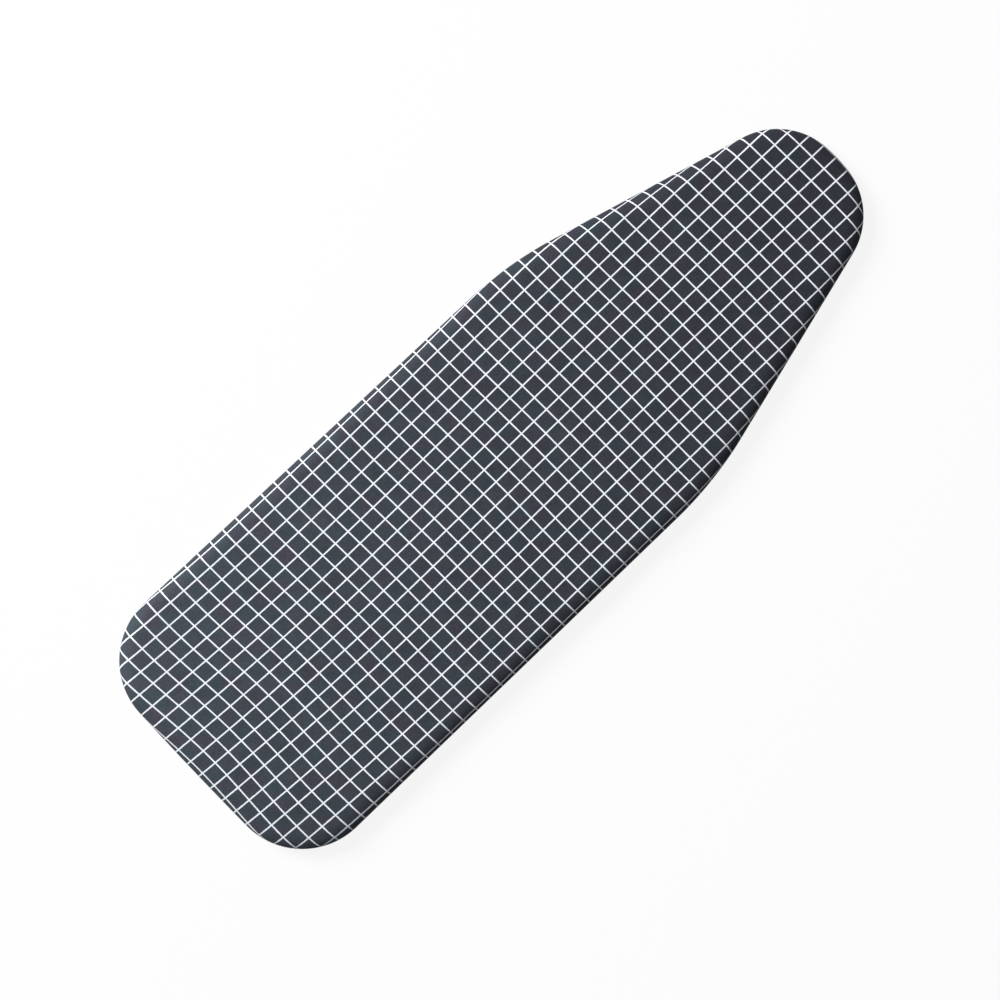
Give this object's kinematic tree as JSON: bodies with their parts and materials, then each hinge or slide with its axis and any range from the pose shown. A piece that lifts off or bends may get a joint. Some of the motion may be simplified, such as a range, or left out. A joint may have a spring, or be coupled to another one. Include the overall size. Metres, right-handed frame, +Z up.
{
  "type": "ironing board cover",
  "caption": "Padded ironing board cover with a windowpane print, drawn up under its board by an elastic cord and a sprung cord lock.",
  "frame": {"origin": "under the middle of the cover's box, on the surface that the hem rests on", "axes": "+X from the heel to the nose, +Y across, +Z up through the ironing face"},
  "size_m": [1.23, 0.427, 0.033],
  "materials": {
    "cover_cotton": "plain woven cotton, charcoal with a white windowpane grid",
    "needle_felt": "soft off-white needle felt",
    "binding_tape": "folded charcoal cotton tape, stitched",
    "elastic_cord": "braided black elastic",
    "lock_plastic": "moulded black plastic, fine satin",
    "plunger_plastic": "moulded dark grey plastic, fine satin",
    "spring_steel": "bright drawn wire"
  },
  "bodies": {
    "cover": {"cover_cloth": "cover_cotton", "felt_pad": "needle_felt", "hem_binding": "binding_tape", "drawcord": "elastic_cord", "cord_end": "lock_plastic"},
    "cord_lock": {"lock_barrel": "lock_plastic", "lock_spring": "spring_steel"},
    "plunger": {"lock_plunger": "plunger_plastic"}
  },
  "joints": [
    {"name": "lock_slide", "type": "slide", "parent": "cover", "child": "cord_lock", "axis": [1, 0, 0], "range_m": [0, 0.025]},
    {"name": "plunger_press", "type": "slide", "parent": "cord_lock", "child": "plunger", "axis": [0, -1, 0], "range_m": [0, 0.0025], "stiffness_N_per_m": 400, "springref_m": -0.002, "deforming": ["lock_spring"]}
  ]
}
